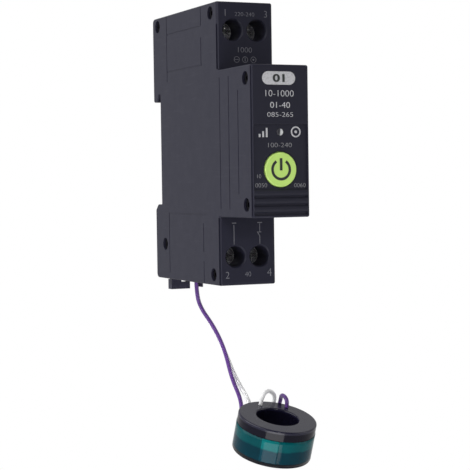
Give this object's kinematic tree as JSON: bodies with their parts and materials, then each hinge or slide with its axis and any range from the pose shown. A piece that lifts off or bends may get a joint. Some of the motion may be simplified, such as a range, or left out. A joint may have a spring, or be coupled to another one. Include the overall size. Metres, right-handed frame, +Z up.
{
  "type": "smart circuit breaker",
  "caption": "Slim rail-mounted smart circuit breaker with a front power button, cage terminals and a measuring ring on two leads.",
  "frame": {"origin": "rail seat: mid-width, on the floor of the rail notch, at half the height of the rail", "axes": "+Y into the rail, away from the front; +Z up, along the module; +X to the right seen from the front"},
  "size_m": [0.0374, 0.0748, 0.1408],
  "materials": {
    "case_plastic": "fine spark-eroded matte",
    "panel_plastic": "smooth satin",
    "button_plastic": "smooth satin",
    "lens_plastic": "polished",
    "clip_plastic": "fine matte",
    "bush_plastic": "fine matte",
    "rivet_steel": "zinc plated",
    "screw_steel": "zinc plated",
    "cage_steel": "zinc plated",
    "bar_copper": "plain copper",
    "board_laminate": "solder resist",
    "part_plastic": "moulded",
    "switch_plastic": "moulded",
    "can_metal": "satin",
    "ferrite": "sintered",
    "copper_wire": "enamelled",
    "relay_plastic": "moulded",
    "varistor_coat": "dipped",
    "ring_plastic": "fine matte",
    "band_film": "clear tape",
    "purple_pvc": "extruded",
    "white_pvc": "extruded",
    "soft_iron": "nickel plated",
    "spring_bronze": "rolled",
    "contact_silver": "plain silver alloy"
  },
  "bodies": {
    "root": {"left_cover": "case_plastic", "main_housing": "case_plastic", "front_panel": "panel_plastic", "rivets": "rivet_steel", "push_switch": "switch_plastic", "front_board": "board_laminate", "signal_lens": "lens_plastic", "status_lamp": "lens_plastic", "radio_module": "can_metal", "main_board": "board_laminate", "supply_capacitor": "can_metal", "transformer_core": "ferrite", "transformer_winding": "copper_wire", "surge_varistor": "varistor_coat", "metering_chip": "part_plastic", "lead_socket": "part_plastic", "lead_bush": "bush_plastic", "purple_inner_lead": "purple_pvc", "white_inner_lead": "white_pvc", "relay_case": "relay_plastic", "relay_line_tab": "bar_copper", "relay_load_tab": "bar_copper", "neutral_bar": "bar_copper", "line_bar": "bar_copper", "load_bar": "bar_copper", "ring_case": "ring_plastic", "ring_lid": "ring_plastic", "ring_band": "band_film", "ring_core": "ferrite", "ring_winding": "copper_wire", "purple_lead": "purple_pvc", "white_lead": "white_pvc", "relay_lid": "relay_plastic", "relay_former": "part_plastic", "relay_winding": "copper_wire", "relay_core": "soft_iron", "relay_yokes": "soft_iron", "fixed_contact": "contact_silver"},
    "button": {"power_button": "button_plastic", "switch_plunger": "part_plastic"},
    "clip": {"rail_clip": "clip_plastic"},
    "pusher": {"relay_pusher": "part_plastic"},
    "rocker": {"relay_rocker": "part_plastic", "rocker_plate": "soft_iron", "rocker_magnet": "ferrite"},
    "blade": {"contact_blade": "spring_bronze", "moving_contact": "contact_silver"},
    "screw_top_left": {"terminal_screw_top_left": "screw_steel"},
    "cage_top_left": {"terminal_cage_top_left": "cage_steel"},
    "screw_top_right": {"terminal_screw_top_right": "screw_steel"},
    "cage_top_right": {"terminal_cage_top_right": "cage_steel"},
    "screw_bottom_left": {"terminal_screw_bottom_left": "screw_steel"},
    "cage_bottom_left": {"terminal_cage_bottom_left": "cage_steel"},
    "screw_bottom_right": {"terminal_screw_bottom_right": "screw_steel"},
    "cage_bottom_right": {"terminal_cage_bottom_right": "cage_steel"}
  },
  "joints": [
    {"name": "button_press", "type": "slide", "parent": "root", "child": "button", "axis": [0, 1, 0], "range_m": [0, 0.0006], "stiffness_N_per_m": 1500},
    {"name": "clip_pull", "type": "slide", "parent": "root", "child": "clip", "axis": [0, 0, -1], "range_m": [0, 0.0032]},
    {"name": "relay_push", "type": "slide", "parent": "root", "child": "pusher", "axis": [0, -1, 0], "range_m": [0, 0.00096]},
    {"name": "relay_rock", "type": "hinge", "parent": "root", "child": "rocker", "pos_m": [0, -0.0241, 0.0005], "axis": [1, 0, 0], "range_deg": [0, 5.5]},
    {"name": "contact_flex", "type": "hinge", "parent": "root", "child": "blade", "pos_m": [0.0039, -0.02795, -0.0125], "axis": [1, 0, 0], "range_deg": [0, 2.45]},
    {"name": "screw_turn_top_left", "type": "hinge", "parent": "root", "child": "screw_top_left", "pos_m": [-0.0039, -0.038, 0.0338], "axis": [0, 1, 0], "range_deg": [0, 2160]},
    {"name": "cage_lift_top_left", "type": "slide", "parent": "root", "child": "cage_top_left", "axis": [0, -1, 0], "range_m": [0, 0.0048]},
    {"name": "screw_turn_top_right", "type": "hinge", "parent": "root", "child": "screw_top_right", "pos_m": [0.0039, -0.038, 0.0338], "axis": [0, 1, 0], "range_deg": [0, 2160]},
    {"name": "cage_lift_top_right", "type": "slide", "parent": "root", "child": "cage_top_right", "axis": [0, -1, 0], "range_m": [0, 0.0048]},
    {"name": "screw_turn_bottom_left", "type": "hinge", "parent": "root", "child": "screw_bottom_left", "pos_m": [-0.0039, -0.038, -0.0328], "axis": [0, 1, 0], "range_deg": [0, 2160]},
    {"name": "cage_lift_bottom_left", "type": "slide", "parent": "root", "child": "cage_bottom_left", "axis": [0, -1, 0], "range_m": [0, 0.0048]},
    {"name": "screw_turn_bottom_right", "type": "hinge", "parent": "root", "child": "screw_bottom_right", "pos_m": [0.0039, -0.038, -0.0328], "axis": [0, 1, 0], "range_deg": [0, 2160]},
    {"name": "cage_lift_bottom_right", "type": "slide", "parent": "root", "child": "cage_bottom_right", "axis": [0, -1, 0], "range_m": [0, 0.0048]}
  ],
  "couplings": [
    {"joint": "relay_rock", "follows": "relay_push", "rad_per_m": 99.993},
    {"joint": "contact_flex", "follows": "relay_push", "rad_per_m": 44.542},
    {"joint": "screw_turn_top_left", "follows": "cage_lift_top_left", "rad_per_m": 7854},
    {"joint": "screw_turn_top_right", "follows": "cage_lift_top_right", "rad_per_m": 7854},
    {"joint": "screw_turn_bottom_left", "follows": "cage_lift_bottom_left", "rad_per_m": 7854},
    {"joint": "screw_turn_bottom_right", "follows": "cage_lift_bottom_right", "rad_per_m": 7854}
  ]
}
